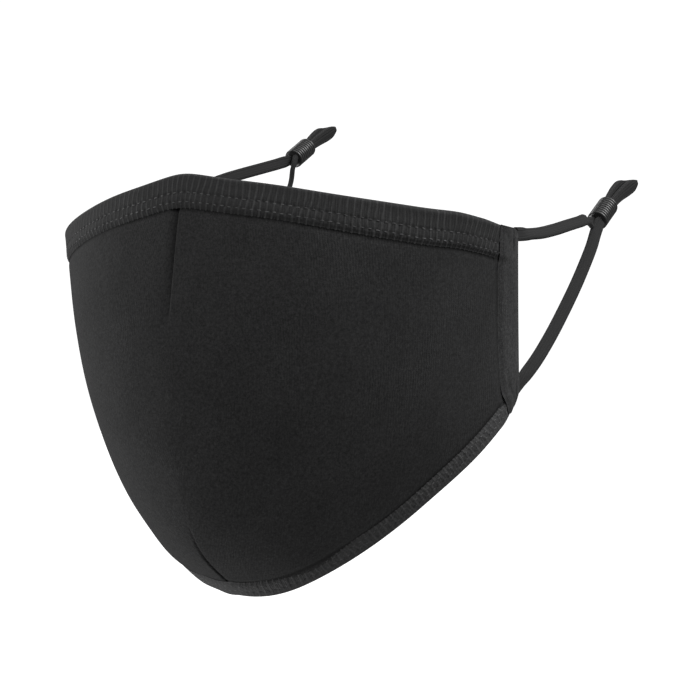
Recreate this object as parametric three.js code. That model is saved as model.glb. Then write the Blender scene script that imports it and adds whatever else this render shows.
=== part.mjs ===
import * as THREE from 'three';

// A worn cloth face mask: a shaped jersey cup, bound edges, side casings, and two elastic ear loops
// with adjusters. Millimetres, +Z up, the front faces -Y. The origin is the top edge over the nose.

// The cup's overall form
const HEIGHT = 130; // top edge down to the chin edge, at the centre
const WIDTH = 159; // between the side edges, at their top
const DEPTH = 84; // nose edge back to the lower side corners

const CREASE_ROUNDING = 4; // rounds the fold that runs down the nose line

// Cloth
const SHELL_CLOTH = 1.5; // two layers of jersey
const BINDING_CLOTH = 1.0; // one layer of rib knit
const CASING_CLOTH = 1.0; // one layer of jersey
const CLEARANCE = 0.3; // between pieces that lie on each other

// Bands along the edges
const TOP_BINDING_WIDTH = 11;
const BOTTOM_BINDING_WIDTH = 8.5;
const CASING_WIDTH = 12;
const CASING_CORNER = 2.5; // radius that rounds the casing's fold at both ends
const CASING_OVERLAP = 5; // how far a binding's end reaches under the casing

// Darts: grooves sewn along the centre line
const DART_DEPTH = 1.4;
const DART_WIDTH = 7;
const NOSE_DART_LENGTH = 36; // below the top binding
const CHIN_DART_LENGTH = 24; // above the bottom binding

// Ear loops
const CORD_WIDTH = 4.6;
const CORD_THICKNESS = 2.2;
const ADJUSTER_LENGTH = 14;
const ADJUSTER_OUTER = 7.6; // over the rings
const ADJUSTER_BORE = 6.0;
const ADJUSTER_RINGS = 8;
const RING_HEIGHT = 0.35;

// The nose line from the top edge to the chin: back as a share of DEPTH, down as a share of HEIGHT
const NOSE_LINE = [
  { back: 0, down: 0 },
  { back: -0.06, down: 0.2 },
  { back: -0.095, down: 0.43 },
  { back: -0.06, down: 0.66 },
  { back: 0.09, down: 0.87 },
  { back: 0.36, down: 1 },
];

// The side edge: out as a share of half the WIDTH, back of the DEPTH, down of the HEIGHT
const SIDE_EDGE = {
  top: { out: 1, back: 0.815, down: 0.113 },
  bottom: { out: 0.905, back: 1, down: 0.531 },
};

// How full the cup is at the top, middle and bottom. The nose columns say how far the cloth runs out
// from the nose line (share of half the WIDTH) and how much it slopes back and down on the way. The
// cheek columns say how far it runs forward from the side edge (share of the DEPTH) and how much it
// swells out and down.
const FULLNESS = {
  top: { nose: 0.435, noseBack: -0.03, noseDown: 0.155, cheek: 0.56, cheekOut: 0.13, cheekDown: -0.015 },
  middle: { nose: 0.54, noseBack: 0.055, noseDown: -0.065, cheek: 0.505, cheekOut: 0.02, cheekDown: 0.085 },
  bottom: { nose: 0.29, noseBack: 0.435, noseDown: 0.255, cheek: 0.4, cheekOut: 0.055, cheekDown: 0.67 },
};

// The ear loops' centre lines, from the casing's top end through the adjuster, round the end loop and
// back to the casing's bottom end. The worn loops hang at their own heights, so each has its own points.
const EAR_LOOP_RIGHT = [
  [79.3, 69.9, -16.8],
  [78.6, 77.6, -16.1],
  [77.2, 89.7, -14.8],
  [75.2, 106, -12.2],
  [72.8, 122, -9.3],
  [69.9, 138.4, -6.5],
  [67.2, 150.3, -4.6],
  [64.8, 158.4, -5.1],
  [63.75, 164.6, -3.8],
  [63.75, 170.5, 0],
  [63.75, 176.4, 3.8],
  [63.3, 181.4, 6.8],
  [62.8, 187.3, 9.7],
  [62.8, 192.6, 12.1],
  [63.5, 195.1, 13.2],
  [65, 196, 13.6],
  [66.5, 195.1, 13.2],
  [67.2, 192.6, 12.1],
  [67.2, 187.3, 9.7],
  [66.7, 181.4, 6.8],
  [66.25, 176.4, 3.8],
  [66.25, 170.5, 0],
  [66.25, 164.6, -3.8],
  [66.6, 160.2, -7.8],
  [67.6, 154.2, -13.3],
  [68.7, 145.2, -20.8],
  [70.05, 133.2, -30],
  [71.1, 120.8, -39.2],
  [71.95, 108.5, -48],
  [72.3, 96.8, -56],
  [71.9, 84.9, -63.6],
];
const EAR_LOOP_LEFT = [
  [-79.3, 69.9, -16.8],
  [-79.0, 82, -9],
  [-78.2, 96, -0.6],
  [-76.9, 110, 7.6],
  [-75, 122.8, 14.3],
  [-73.4, 131.2, 17.4],
  [-71.4, 140.2, 20.2],
  [-69.2, 150.4, 23.2],
  [-67.3, 159, 25.8],
  [-66.25, 165.4, 28],
  [-66.25, 171.5, 31.5],
  [-66.25, 177.6, 35],
  [-66.7, 182.2, 37.6],
  [-67.2, 187, 40.1],
  [-67.2, 190.6, 42],
  [-66.5, 192.8, 43.2],
  [-65, 193.6, 43.7],
  [-63.5, 192.8, 43.2],
  [-62.8, 190.6, 42],
  [-62.8, 187, 40.1],
  [-63.3, 182.2, 37.6],
  [-63.75, 177.6, 35],
  [-63.75, 171.5, 31.5],
  [-63.75, 165.4, 28],
  [-63.75, 163.2, 24.2],
  [-64.6, 163.4, 19.6],
  [-65.8, 160, 10.5],
  [-67.6, 150, -5],
  [-69.5, 136, -21],
  [-70.9, 119.5, -37],
  [-71.7, 101, -51.5],
  [-71.9, 84.9, -63.6],
];

// Where each adjuster sits on its loop and how far its axis rises towards the back
const ADJUSTER_RIGHT = { centre: [65, 170.5, 0], rise: 33 };
const ADJUSTER_LEFT = { centre: [-65, 171.5, 31.5], rise: 30 };

// Mesh detail
const SHELL_ROWS = 13; // between the darts' open ends
const SHELL_COLUMNS = 15; // from a dart's edge to each side edge
const CASING_STATIONS = 14;
const CORD_SIDES = 8;
const CORD_STEPS_PER_POINT = 2;
const ADJUSTER_SIDES = 16;
const WALK_STEPS = 40;
const SLOPE_STEP = 0.004;

const JERSEY = { color: 0x2b2b2b, roughness: 0.95, metalness: 0 };
const RIB_KNIT = { color: 0x2e2e2e, roughness: 0.95, metalness: 0 };
const ELASTIC = { color: 0x303030, roughness: 0.85, metalness: 0 };
const RUBBER = { color: 0x262626, roughness: 0.4, metalness: 0 };

const { lerp, clamp, degToRad, smoothstep } = THREE.MathUtils;

// A smooth value through its top, middle and bottom values
function through(column, down) {
  const { top, middle, bottom } = FULLNESS;
  const upper = top[column] * (1 - down) * (1 - 2 * down);
  const lower = bottom[column] * down * (2 * down - 1);
  return upper + middle[column] * 4 * down * (1 - down) + lower;
}

const noseLine = new THREE.SplineCurve(
  NOSE_LINE.map(({ back, down }) => new THREE.Vector2(back * DEPTH, -down * HEIGHT)),
);

function sideEdge(down) {
  const { top, bottom } = SIDE_EDGE;
  return new THREE.Vector3(
    (lerp(top.out, bottom.out, down) * WIDTH) / 2,
    lerp(top.back, bottom.back, down) * DEPTH,
    -lerp(top.down, bottom.down, down) * HEIGHT,
  );
}

// The cup's outer surface: across runs from -1 (left edge) to 1 (right edge), down from 0 to 1
function formPoint(across, down) {
  const nose = noseLine.getPoint(down);
  const start = new THREE.Vector3(0, nose.x, nose.y);
  const end = sideEdge(down);
  const noseReach = (through('nose', down) * WIDTH) / 2;
  const cheekReach = through('cheek', down) * DEPTH;
  const noseSlope = new THREE.Vector3(1, through('noseBack', down), -through('noseDown', down));
  const cheekSlope = new THREE.Vector3(through('cheekOut', down), -1, -through('cheekDown', down));
  const noseHandle = start.clone().addScaledVector(noseSlope, noseReach);
  const cheekHandle = end.clone().addScaledVector(cheekSlope, cheekReach);
  const section = new THREE.CubicBezierCurve3(start, noseHandle, cheekHandle, end);
  const point = section.getPoint(Math.abs(across));
  const rounding = Math.hypot(point.x, CREASE_ROUNDING) - point.x;
  point.addScaledVector(noseSlope.setX(0), rounding);
  point.x *= Math.sign(across);
  return point;
}

// The surface's direction away from the face
function formNormal(across, down) {
  const left = formPoint(Math.max(across - SLOPE_STEP, -1), down);
  const right = formPoint(Math.min(across + SLOPE_STEP, 1), down);
  const above = formPoint(across, Math.max(down - SLOPE_STEP, 0));
  const below = formPoint(across, Math.min(down + SLOPE_STEP, 1));
  return below.sub(above).cross(right.sub(left)).normalize();
}

// How deep the sewn darts pull the cloth in, at a place on the centre line's neighbourhood
function dartDepth(point, fromTop, fromBottom) {
  const aside = clamp((2 * Math.abs(point.x)) / DART_WIDTH, 0, 1);
  const noseStart = TOP_BINDING_WIDTH + CLEARANCE;
  const chinStart = BOTTOM_BINDING_WIDTH + CLEARANCE;
  const fade = (along, start, length) => {
    const opening = smoothstep(along, start, start + DART_DEPTH);
    return opening * (1 - clamp((along - start) / length, 0, 1));
  };
  const nose = fade(fromTop, noseStart, NOSE_DART_LENGTH);
  const chin = fade(fromBottom, chinStart, CHIN_DART_LENGTH);
  return DART_DEPTH * (1 - aside) ** 2 * (nose + chin);
}

// Turns a length walked along a line into the share of the line that it reaches
function walk(line) {
  const lengths = [0];
  let previous = line(0);
  for (let step = 1; step <= WALK_STEPS; step++) {
    const point = line(step / WALK_STEPS);
    lengths.push(lengths[step - 1] + point.distanceTo(previous));
    previous = point;
  }
  const total = lengths[WALK_STEPS];
  const shareAt = (length) => {
    const next = Math.max(lengths.findIndex((value, step) => step > 0 && value >= length), 1);
    return (next - 1 + (length - lengths[next - 1]) / (lengths[next] - lengths[next - 1])) / WALK_STEPS;
  };
  return { total, shareAt };
}

const walkDown = (across) => walk((share) => formPoint(across, share));
const walkUp = (across) => walk((share) => formPoint(across, 1 - share));
const walkInward = (side, down) => walk((share) => formPoint(side * (1 - share), down));

// A point at a place on the surface, moved out from it by a distance
function lifted(across, down, out) {
  return formPoint(across, down).addScaledVector(formNormal(across, down), out);
}

// A closed solid between an outer and an inner row of points at each station
function clothSolid(stations) {
  const rows = stations[0].outer.length;
  const last = stations.length - 1;
  const positions = stations.flatMap(({ outer, inner }) => [...outer, ...inner]).flatMap((p) => p.toArray());
  const corner = (station, row, face) => (station * 2 + face) * rows + row;
  const index = [];
  const quad = (a, b, c, d) => index.push(a, b, c, a, c, d);
  for (let row = 0; row < rows - 1; row++) {
    for (let s = 0; s < last; s++) {
      quad(corner(s, row, 0), corner(s, row + 1, 0), corner(s + 1, row + 1, 0), corner(s + 1, row, 0));
      quad(corner(s, row, 1), corner(s + 1, row, 1), corner(s + 1, row + 1, 1), corner(s, row + 1, 1));
    }
    quad(corner(0, row, 0), corner(0, row, 1), corner(0, row + 1, 1), corner(0, row + 1, 0));
    quad(corner(last, row, 0), corner(last, row + 1, 0), corner(last, row + 1, 1), corner(last, row, 1));
  }
  for (let s = 0; s < last; s++) {
    const end = rows - 1;
    quad(corner(s, 0, 0), corner(s + 1, 0, 0), corner(s + 1, 0, 1), corner(s, 0, 1));
    quad(corner(s, end, 0), corner(s, end, 1), corner(s + 1, end, 1), corner(s + 1, end, 0));
  }
  const geometry = new THREE.BufferGeometry();
  geometry.setAttribute('position', new THREE.Float32BufferAttribute(positions, 3));
  geometry.setIndex(signedVolume(positions, index) < 0 ? index.reverse() : index);
  geometry.computeVertexNormals();
  return geometry;
}

function signedVolume(positions, index) {
  const vertex = (i) => new THREE.Vector3().fromArray(positions, 3 * i);
  let volume = 0;
  for (let i = 0; i < index.length; i += 3) {
    const [a, b, c] = [vertex(index[i]), vertex(index[i + 1]), vertex(index[i + 2])];
    volume += a.dot(b.cross(c)) / 6;
  }
  return volume;
}

// Columns from the left to the right side, close together over the darts
function columns(reach) {
  const dartShare = DART_WIDTH / 2 / walkInward(1, 0.5).total;
  const half = [0, 0.2 * dartShare, 0.5 * dartShare];
  for (let column = 0; column <= SHELL_COLUMNS; column++) {
    half.push(lerp(dartShare, reach, column / SHELL_COLUMNS));
  }
  return [...half.slice(1).reverse().map((share) => -share), ...half];
}

// How far down the shell's rows lie at one place across, as shares: rows under the bindings and at
// the darts' ends, then even rows between
function rowsDown(across) {
  const edge = BINDING_CLOTH + CLEARANCE;
  const insets = (width) => [edge, width / 2, width + CLEARANCE, width + CLEARANCE + DART_DEPTH];
  const top = insets(TOP_BINDING_WIDTH).map(walkDown(across).shareAt);
  const bottom = insets(BOTTOM_BINDING_WIDTH).map(walkUp(across).shareAt).map((share) => 1 - share);
  const [start, end] = [top.at(-1), bottom.at(-1)];
  const middle = [];
  for (let row = 1; row < SHELL_ROWS; row++) {
    middle.push(lerp(start, end, row / SHELL_ROWS));
  }
  return [...top, ...middle, ...bottom.reverse()];
}

function maskShell() {
  const sideInset = CASING_CLOTH + CLEARANCE + CASING_CORNER / 3;
  const stations = columns(1).map((column) => {
    const side = column < 0 ? -1 : 1;
    const station = { outer: [], inner: [] };
    for (const level of rowsDown(column)) {
      const across = column * (1 - walkInward(side, level).shareAt(sideInset));
      const fromTop = walk((share) => formPoint(across, share * level)).total;
      const fromBottom = walk((share) => formPoint(across, 1 - share * (1 - level))).total;
      const dart = dartDepth(formPoint(across, level), fromTop, fromBottom);
      station.outer.push(lifted(across, level, -dart));
      station.inner.push(lifted(across, level, -dart - SHELL_CLOTH));
    }
    return station;
  });
  return clothSolid(stations);
}

// The section of a band folded over an edge: how far in from the edge, and how far out of the surface.
// `core` is how far the fold's inner faces lie from the cloth's outer and inner faces.
function foldedBand(width, cloth, core) {
  const front = core;
  const back = -SHELL_CLOTH - core;
  const middle = (front + back) / 2;
  const shoulder = (front - back) / 4;
  const outer = [
    [width, front + cloth],
    [width / 2, front + cloth],
    [cloth, front + cloth],
    [cloth * 0.3, middle + shoulder + cloth * 0.6],
    [0, middle],
    [cloth * 0.3, middle - shoulder - cloth * 0.6],
    [cloth, back - cloth],
    [width / 2, back - cloth],
    [width, back - cloth],
  ];
  const inner = [
    [width, front],
    [width / 2, front],
    [cloth * 1.2, front],
    [cloth, middle + shoulder],
    [cloth, middle],
    [cloth, middle - shoulder],
    [cloth * 1.2, back],
    [width / 2, back],
    [width, back],
  ];
  return { outer, inner };
}

function binding(width, walkFromEdge, fromTop) {
  const section = foldedBand(width, BINDING_CLOTH, CLEARANCE);
  const sideDown = fromTop ? 0 : 1;
  const end = 1 - walkInward(1, sideDown).shareAt(CASING_WIDTH - CASING_OVERLAP);
  const stations = columns(end).map((across) => {
    const edge = walkFromEdge(across);
    const place = ([inset, out]) => {
      const share = edge.shareAt(inset);
      return lifted(across, fromTop ? share : 1 - share, out);
    };
    return { outer: section.outer.map(place), inner: section.inner.map(place) };
  });
  return clothSolid(stations);
}

function sideCasing(side) {
  const section = foldedBand(CASING_WIDTH, CASING_CLOTH, BINDING_CLOTH + 2 * CLEARANCE);
  const length = walk((share) => formPoint(side, share)).total;
  const stations = [];
  for (let station = 0; station <= CASING_STATIONS; station++) {
    const down = 0.5 - 0.5 * Math.cos((Math.PI * station) / CASING_STATIONS);
    const fromEnd = Math.min(down, 1 - down) * length;
    const corner = Math.max(CASING_CORNER - fromEnd, 0);
    const rounding = CASING_CORNER - Math.sqrt(CASING_CORNER ** 2 - corner ** 2);
    const inward = walkInward(side, down);
    const place = ([inset, out]) => {
      const share = inward.shareAt(inset + rounding * (1 - inset / CASING_WIDTH));
      return lifted(side * (1 - share), down, out);
    };
    stations.push({ outer: section.outer.map(place), inner: section.inner.map(place) });
  }
  return clothSolid(stations);
}

// A cord's centre line. Its steps fall evenly between the listed points, and its flat faces look
// sideways and turn as little as they can on the way.
class CordRoute extends THREE.CatmullRomCurve3 {
  getUtoTmapping(u) {
    return u;
  }

  computeFrenetFrames(steps) {
    const frames = { tangents: [], normals: [], binormals: [] };
    let facing = new THREE.Vector3(1, 0, 0);
    for (let step = 0; step <= steps; step++) {
      const tangent = this.getTangentAt(step / steps);
      facing = facing.clone().addScaledVector(tangent, -facing.dot(tangent)).normalize();
      frames.tangents.push(tangent);
      frames.normals.push(facing);
      frames.binormals.push(tangent.clone().cross(facing));
    }
    return frames;
  }
}

function cord(points) {
  const route = new CordRoute(points.map((point) => new THREE.Vector3(...point)));
  const section = new THREE.Shape();
  for (let side = 0; side < CORD_SIDES; side++) {
    const angle = (2 * Math.PI * (side + 0.5)) / CORD_SIDES;
    const x = (CORD_THICKNESS / 2) * Math.cos(angle);
    const y = (CORD_WIDTH / 2) * Math.sin(angle);
    if (side === 0) {
      section.moveTo(x, y);
    } else {
      section.lineTo(x, y);
    }
  }
  section.closePath();
  const steps = (points.length - 1) * CORD_STEPS_PER_POINT;
  return new THREE.ExtrudeGeometry(section, { steps, extrudePath: route, bevelEnabled: false });
}

// A ribbed tube: rounded rings side by side round a plain bore
function adjuster() {
  const bore = ADJUSTER_BORE / 2;
  const crest = ADJUSTER_OUTER / 2;
  const groove = crest - RING_HEIGHT;
  const pitch = ADJUSTER_LENGTH / ADJUSTER_RINGS;
  const bottom = -ADJUSTER_LENGTH / 2;
  const profile = [new THREE.Vector2(bore, -bottom), new THREE.Vector2(bore, bottom)];
  profile.push(new THREE.Vector2(groove, bottom));
  for (let ring = 0; ring < ADJUSTER_RINGS; ring++) {
    const start = bottom + ring * pitch;
    profile.push(new THREE.Vector2(crest, start + pitch * 0.3));
    profile.push(new THREE.Vector2(crest, start + pitch * 0.7));
    profile.push(new THREE.Vector2(groove, start + pitch));
  }
  profile.push(new THREE.Vector2(bore, -bottom));
  return new THREE.LatheGeometry(profile, ADJUSTER_SIDES);
}

const mask = new THREE.Group();

function addMesh(name, geometry, material) {
  const mesh = new THREE.Mesh(geometry, new THREE.MeshStandardMaterial(material));
  mesh.name = name;
  mask.add(mesh);
  return mesh;
}

function addAdjuster(name, { centre, rise }) {
  const mesh = addMesh(name, adjuster(), RUBBER);
  mesh.position.set(...centre);
  mesh.rotation.x = degToRad(rise);
}

addMesh('mask_shell', maskShell(), JERSEY);
addMesh('top_binding', binding(TOP_BINDING_WIDTH, walkDown, true), RIB_KNIT);
addMesh('bottom_binding', binding(BOTTOM_BINDING_WIDTH, walkUp, false), RIB_KNIT);
addMesh('side_casing_right', sideCasing(1), JERSEY);
addMesh('side_casing_left', sideCasing(-1), JERSEY);
addMesh('ear_loop_right', cord(EAR_LOOP_RIGHT), ELASTIC);
addMesh('ear_loop_left', cord(EAR_LOOP_LEFT), ELASTIC);
addAdjuster('adjuster_right', ADJUSTER_RIGHT);
addAdjuster('adjuster_left', ADJUSTER_LEFT);

export default mask;
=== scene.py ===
"""Cloth face mask, worn form: knitted cup, ribbed bindings, casings, elastic ear loops and adjusters."""

import math

import bmesh
import bpy
import numpy as np
from bpy.props import FloatProperty, FloatVectorProperty, IntProperty, PointerProperty
from mathutils import Matrix, Vector


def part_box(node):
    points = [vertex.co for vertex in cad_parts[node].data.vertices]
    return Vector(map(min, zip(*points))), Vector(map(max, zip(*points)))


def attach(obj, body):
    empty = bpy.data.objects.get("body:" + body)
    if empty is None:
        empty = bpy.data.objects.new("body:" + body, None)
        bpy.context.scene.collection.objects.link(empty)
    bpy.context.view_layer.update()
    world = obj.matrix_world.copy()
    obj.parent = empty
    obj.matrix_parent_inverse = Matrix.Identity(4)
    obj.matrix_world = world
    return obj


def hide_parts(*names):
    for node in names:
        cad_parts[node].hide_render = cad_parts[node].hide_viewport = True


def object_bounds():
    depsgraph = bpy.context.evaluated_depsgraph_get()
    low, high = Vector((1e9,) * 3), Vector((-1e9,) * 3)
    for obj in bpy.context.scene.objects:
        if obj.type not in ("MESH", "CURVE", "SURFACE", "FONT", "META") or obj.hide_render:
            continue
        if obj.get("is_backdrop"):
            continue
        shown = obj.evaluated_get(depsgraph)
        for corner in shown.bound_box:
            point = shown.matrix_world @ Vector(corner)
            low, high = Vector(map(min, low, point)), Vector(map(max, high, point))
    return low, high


bl_info = {
    "name": "Cloth face mask",
    "version": (1, 0, 0),
    "blender": (4, 5, 0),
    "location": "View3D > Sidebar > Face mask",
    "description": "Builds a shaped cloth face mask with adjustable ear loops",
    "category": "Add Mesh",
}

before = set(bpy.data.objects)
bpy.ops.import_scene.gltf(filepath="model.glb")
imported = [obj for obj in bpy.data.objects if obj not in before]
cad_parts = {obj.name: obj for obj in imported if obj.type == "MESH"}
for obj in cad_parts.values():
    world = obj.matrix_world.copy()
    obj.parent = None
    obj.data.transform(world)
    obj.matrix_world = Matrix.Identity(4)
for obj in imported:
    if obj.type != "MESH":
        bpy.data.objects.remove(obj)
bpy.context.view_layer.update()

MM = 0.001
SIDES = {"right": 1, "left": -1}

# The cup's form, the same as the frame's: lengths in metres, tables as shares of them
HEIGHT = 130 * MM
WIDTH = 159 * MM
DEPTH = 84 * MM
CREASE_ROUNDING = 4 * MM
CHIN_ROUNDING = 1.4 * MM
SHELL_CLOTH = 1.5 * MM
BINDING_CLOTH = 1.0 * MM
CASING_CLOTH = 1.0 * MM
CLEARANCE = 0.3 * MM
TOP_BINDING_WIDTH = 11 * MM
BOTTOM_BINDING_WIDTH = 8.5 * MM
LOWER_BAND_END = 6.9 * MM
CASING_WIDTH = 12 * MM
CASING_CORNER = 2.5 * MM
CASING_OVERLAP = 5 * MM
NOSE_DART_LENGTH = 36 * MM
CHIN_DART_LENGTH = 28 * MM
SLOPE_STEP = 0.004

SAME_PLACE = 1e-7

# How the sewn cloth lies: each layer pressed to the one under it
LAYER_GAP = 0.1 * MM
BAND_CLOTH = 0.45 * MM
STRIP_CLOTH = 0.5 * MM
BAND_HEM = {"run": 1.7 * MM, "thinning": 0.6, "valley": 1}
STRIP_HEM = {"run": 2.4 * MM, "thinning": 0.8, "valley": 0}
HEM_VALLEY = 0.32 * MM
HEM_VALLEY_PAST = 0.2 * MM
HEM_VALLEY_REACH = 0.95 * MM

# Small rises and drops of the cup's edges: across it, or aside of the middle in metres
NOSE_CROWN = 1.0 * MM
NOSE_CROWN_REACH = 13 * MM
TOP_EDGE_RISES = (
    {"at": 0.25, "reach": 0.15, "rise": 0.55 * MM},
    {"at": 0.76, "reach": 0.07, "rise": 0.55 * MM},
)
CHIN_TUCKS = (
    {"at": -10 * MM, "reach": 6 * MM, "rise": 0.7 * MM},
    {"at": 14 * MM, "reach": 10 * MM, "rise": -0.45 * MM},
)
CHIN_SWELL = {"out": 0.9 * MM, "aside": (26 * MM, 9 * MM), "above": (12.5 * MM, 8 * MM)}
JAW_DROP = 1.15 * MM
JAW_SPAN = (0.6, 0.82)
CORNER_DROP = 0.65 * MM
CORNER_SPAN = (0.84, 0.93)
CORNER_LIFT = 0.042
CORNER_FROM = 0.9
RIDGE_SPAN = (0.78, 0.93)
# How far from its edge each of them reaches, as a share of the way down
EDGE_FADE = {"crown": 0.2, "top": 0.15, "chin": 0.12, "jaw": 0.16}

CUP_GRID = (300, 180, 56)  # columns, then rows on the outside and on the inside
CASING_STATIONS = 150

# The nose line from the top edge to the chin: (back, down) as shares of DEPTH and HEIGHT
NOSE_LINE = ((0, 0), (-0.06, 0.2), (-0.095, 0.43), (-0.06, 0.66), (0.09, 0.87), (0.36, 1))

# The side edge: out as a share of half the WIDTH, back of the DEPTH, down of the HEIGHT
SIDE_EDGE = {"out": (1, 0.905), "back": (0.815, 1), "down": (0.113, 0.531)}

# How full the cup is at its top, middle and bottom
FULLNESS = {
    "nose": (0.435, 0.54, 0.29),
    "nose_back": (-0.03, 0.055, 0.435),
    "nose_down": (0.155, -0.065, 0.255),
    "cheek": (0.56, 0.505, 0.4),
    "cheek_out": (0.13, 0.02, 0.055),
    "cheek_down": (-0.015, 0.085, 0.67),
}

# The ear loops' centre lines in millimetres, as the frame's cords have them
EAR_LOOP_RIGHT = (
    (79.3, 69.9, -16.8),
    (78.6, 77.6, -16.1),
    (77.2, 89.7, -14.8),
    (75.2, 106, -12.2),
    (72.8, 122, -9.3),
    (69.9, 138.4, -6.5),
    (67.2, 150.3, -4.6),
    (64.8, 158.4, -5.1),
    (63.75, 164.6, -3.8),
    (63.75, 170.5, 0),
    (63.75, 176.4, 3.8),
    (63.3, 181.4, 6.8),
    (62.8, 187.3, 9.7),
    (62.8, 192.6, 12.1),
    (63.5, 195.1, 13.2),
    (65, 196, 13.6),
    (66.5, 195.1, 13.2),
    (67.2, 192.6, 12.1),
    (67.2, 187.3, 9.7),
    (66.7, 181.4, 6.8),
    (66.25, 176.4, 3.8),
    (66.25, 170.5, 0),
    (66.25, 164.6, -3.8),
    (66.6, 160.2, -7.8),
    (67.6, 154.2, -13.3),
    (68.7, 145.2, -20.8),
    (70.05, 133.2, -30),
    (71.1, 120.8, -39.2),
    (71.95, 108.5, -48),
    (72.3, 96.8, -56),
    (71.9, 84.9, -63.6),
)
EAR_LOOP_LEFT = (
    (-79.3, 69.9, -16.8),
    (-79.0, 82, -9),
    (-78.2, 96, -0.6),
    (-76.9, 110, 7.6),
    (-75, 122.8, 14.3),
    (-73.4, 131.2, 17.4),
    (-71.4, 140.2, 20.2),
    (-69.2, 150.4, 23.2),
    (-67.3, 159, 25.8),
    (-66.25, 165.4, 28),
    (-66.25, 171.5, 31.5),
    (-66.25, 177.6, 35),
    (-66.7, 182.2, 37.6),
    (-67.2, 187, 40.1),
    (-67.2, 190.6, 42),
    (-66.5, 192.8, 43.2),
    (-65, 193.6, 43.7),
    (-63.5, 192.8, 43.2),
    (-62.8, 190.6, 42),
    (-62.8, 187, 40.1),
    (-63.3, 182.2, 37.6),
    (-63.75, 177.6, 35),
    (-63.75, 171.5, 31.5),
    (-63.75, 165.4, 28),
    (-63.75, 163.2, 24.2),
    (-64.6, 163.4, 19.6),
    (-65.8, 160, 10.5),
    (-67.6, 150, -5),
    (-69.5, 136, -21),
    (-70.9, 119.5, -37),
    (-71.7, 101, -51.5),
    (-71.9, 84.9, -63.6),
)
EAR_LOOPS = {"right": EAR_LOOP_RIGHT, "left": EAR_LOOP_LEFT}
ADJUSTER_RISE = {"right": 33, "left": 30}  # degrees that each tube rises towards the back
TUBE_LENGTH = 12.2 * MM
TUBE_FORWARD = 0.8 * MM
TUBE_GROOVE = 0.65 * MM
TUBE_DOME = 0.7 * MM
TUBE_CAP = ((0, 1), (1.2 * MM, 0.8), (2.2 * MM, 0.3))  # radius, and height as a share of the dome's
UPPER_TWIST = {"right": -41, "left": -24}
LOWER_TWIST = 40
CORD_INSIDE = (2.5 * MM, 4.5 * MM)  # how far each end runs on into its casing
CORD_STEP = 0.6 * MM

# Soft creases of a casing: along it from its top end, in from the side edge, their size, lean and depth
CASING_PUCKERS = (
    {"along": 4.5, "inset": 4.6, "long": 3.2, "wide": 0.55, "lean": 0.0, "deep": 0.42},
    {"along": 10.5, "inset": 6.5, "long": 2.8, "wide": 0.8, "lean": 0.9, "deep": -0.22},
    {"along": 3.0, "inset": 8.5, "long": 2.5, "wide": 1.2, "lean": -0.3, "deep": 0.18},
    {"along": 20, "inset": 6.5, "long": 6, "wide": 1.6, "lean": -0.1, "deep": 0.12},
    {"along": 33, "inset": 5.0, "long": 8, "wide": 1.4, "lean": 0.1, "deep": 0.1},
    {"along": 47, "inset": 8.0, "long": 5, "wide": 0.9, "lean": -0.2, "deep": 0.22},
    {"along": 51, "inset": 4.5, "long": 4, "wide": 0.8, "lean": 0.2, "deep": 0.3},
)


def settings():
    return bpy.context.scene.face_mask


def length_setting(name, description, default):
    return FloatProperty(name=name, description=description, default=default, unit="LENGTH")


def count_setting(name, description, default):
    return IntProperty(name=name, description=description, default=default)


def colour_setting(name, description, default):
    return FloatVectorProperty(name=name, description=description, default=default, subtype="COLOR")


class FaceMaskSettings(bpy.types.PropertyGroup):
    """Sizes and colours that a user would change."""

    rib_pitch: length_setting("Rib pitch", "From one rib of a binding to the next", 2.15 * MM)
    rib_height: length_setting("Rib height", "How far the ribs stand up", 0.17 * MM)
    stitch_pitch: length_setting("Stitch pitch", "From one stitch to the next", 2.41 * MM)
    wale_pitch: length_setting("Wale pitch", "Between two columns of jersey loops", 0.88 * MM)
    nose_dart_depth: length_setting("Nose dart depth", "How far the nose dart pulls in", 1.5 * MM)
    chin_dart_depth: length_setting("Chin dart depth", "How far the chin dart pulls in", 1.0 * MM)
    cord_width: length_setting("Elastic width", "Across the flat elastic", 4.5 * MM)
    cord_thickness: length_setting("Elastic thickness", "Through the flat elastic", 1.8 * MM)
    cord_ribs: count_setting("Elastic ribs", "Fine ribs across one face of the elastic", 5)
    adjuster_rings: count_setting("Adjuster rings", "Rings on each adjuster", 9)
    jersey_colour: colour_setting("Jersey", "Colour of the cup", (0.022, 0.022, 0.0223))
    casing_colour: colour_setting("Casing", "Colour of the strips at the sides", (0.037, 0.037, 0.0375))
    rib_colour: colour_setting("Rib knit", "Colour of the top binding", (0.026, 0.026, 0.0263))
    lower_rib_colour: colour_setting("Lower rib knit", "Colour of the bottom binding", (0.041, 0.041, 0.0414))
    elastic_colour: colour_setting("Elastic", "Colour of the ear loops", (0.0195, 0.0195, 0.0197))
    thread_colour: colour_setting("Thread", "Colour of the stitches", (0.05, 0.05, 0.051))
    rubber_colour: colour_setting("Rubber", "Colour of the adjusters", (0.015, 0.015, 0.015))


# The cup's surface


def smoothstep(value, low, high):
    t = np.clip((value - low) / (high - low), 0, 1)
    return t * t * (3 - 2 * t)


def bell(away, reach):
    """1 at no distance, falling smoothly towards 0 past the reach."""
    return np.exp(-((away / reach) ** 2))


def bumps(table, place):
    """The sum of a table's bumps at a place."""
    return sum(row["rise"] * bell(place - row["at"], row["reach"]) for row in table)


def hermite(start, end, leave, arrive, t):
    """A cubic from start to end that leaves and arrives at the given rates, for t from 0 to 1."""
    cubic = 2 * start - 2 * end + leave + arrive
    square = 3 * end - 3 * start - 2 * leave - arrive
    return ((cubic * t + square) * t + leave) * t + start


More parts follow.
